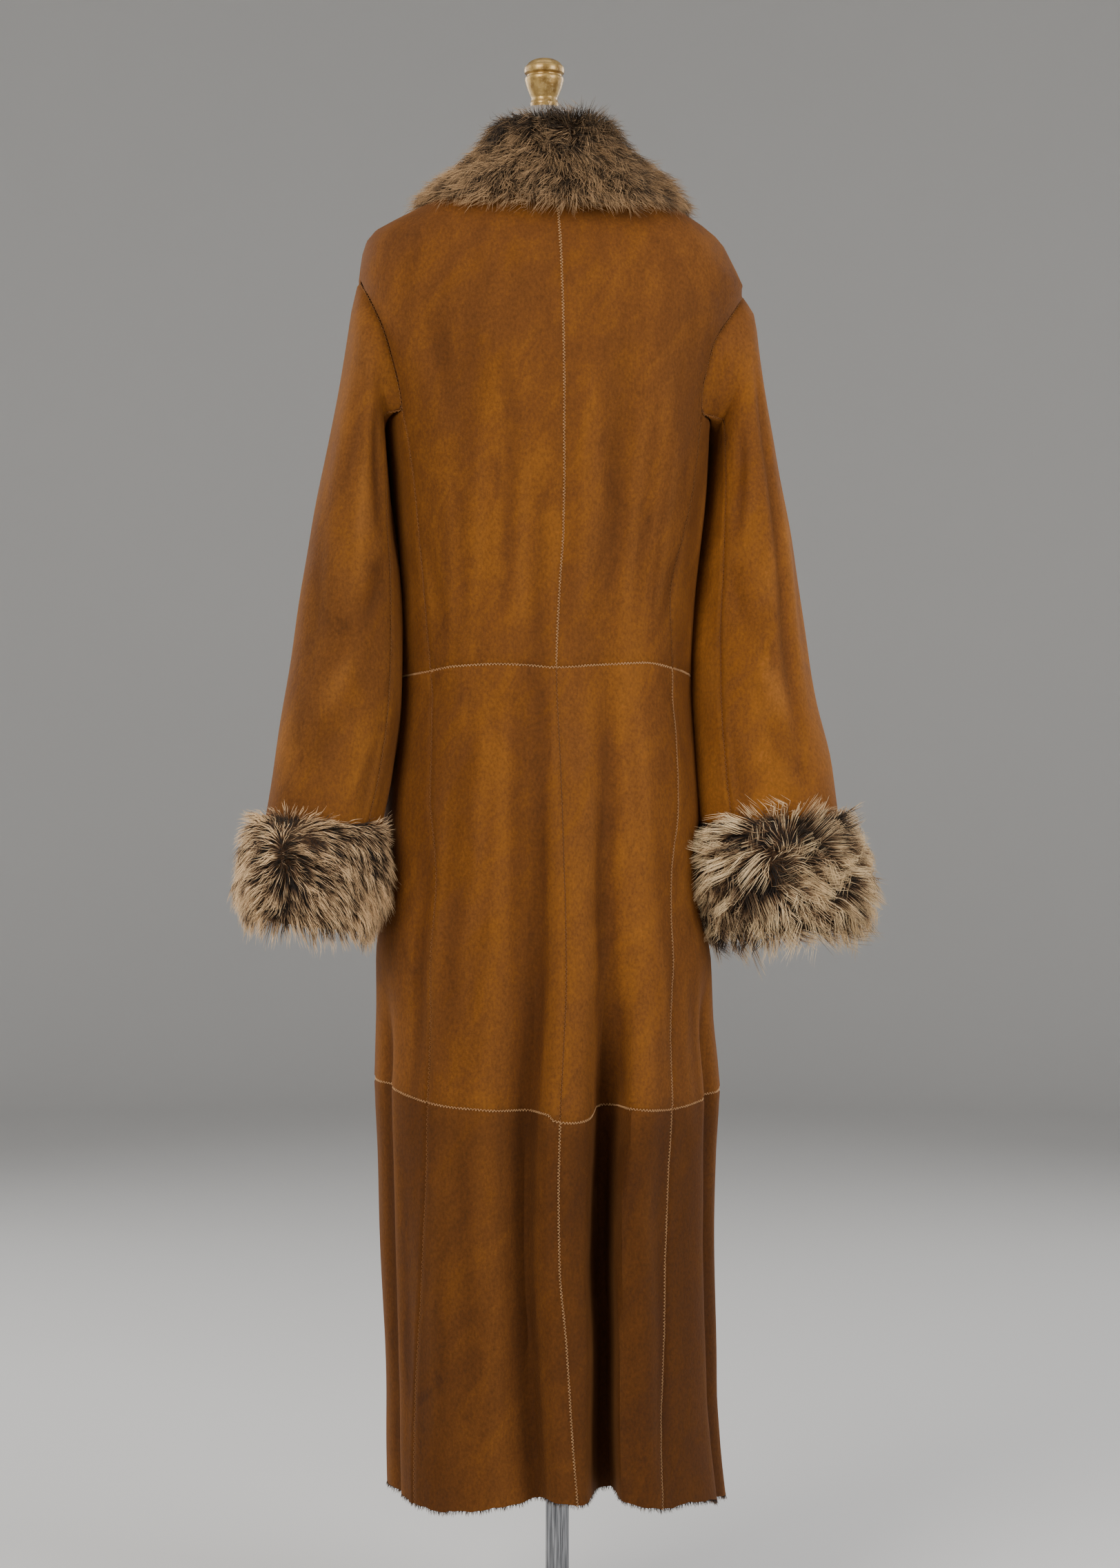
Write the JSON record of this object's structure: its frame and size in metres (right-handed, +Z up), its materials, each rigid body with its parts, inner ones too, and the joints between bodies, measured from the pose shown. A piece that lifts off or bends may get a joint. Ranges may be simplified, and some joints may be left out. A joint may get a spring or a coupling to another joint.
{
  "type": "shearling coat on a limbless dress form with stand",
  "caption": "Full-length suede shearling coat with a fur collar and turned-up fur cuffs, worn by a limbless dress form on a pole stand with a round base.",
  "frame": {"origin": "centre of the stand base's underside, on the floor, below the pole", "axes": "+Z up along the pole, -Y towards the front of the coat, +X towards the coat's left sleeve"},
  "size_m": [0.699, 0.38, 1.7126],
  "materials": {
    "suede": "napped suede",
    "fur": "long shearling fur",
    "form_cloth": "plain woven cover",
    "neck_cap": "silver-grey paint",
    "finial": "antique gold paint",
    "pole": "polished",
    "base": "black enamel"
  },
  "bodies": {
    "root": {"back_hem_left": "suede", "side_hem_left": "suede", "front_hem_left": "suede", "back_skirt_left": "suede", "side_skirt_left": "suede", "front_skirt_left": "suede", "back_upper_left": "suede", "side_upper_left": "suede", "front_upper_left": "suede", "sleeve_top_left": "suede", "sleeve_under_left": "suede", "cuff_left": "fur", "back_hem_right": "suede", "side_hem_right": "suede", "front_hem_right": "suede", "back_skirt_right": "suede", "side_skirt_right": "suede", "front_skirt_right": "suede", "back_upper_right": "suede", "side_upper_right": "suede", "front_upper_right": "suede", "sleeve_top_right": "suede", "sleeve_under_right": "suede", "cuff_right": "fur", "collar": "fur", "form_torso": "form_cloth", "form_neck_cap": "neck_cap", "form_finial": "finial", "stand_pole": "pole", "stand_base": "base"}
  },
  "joints": []
}
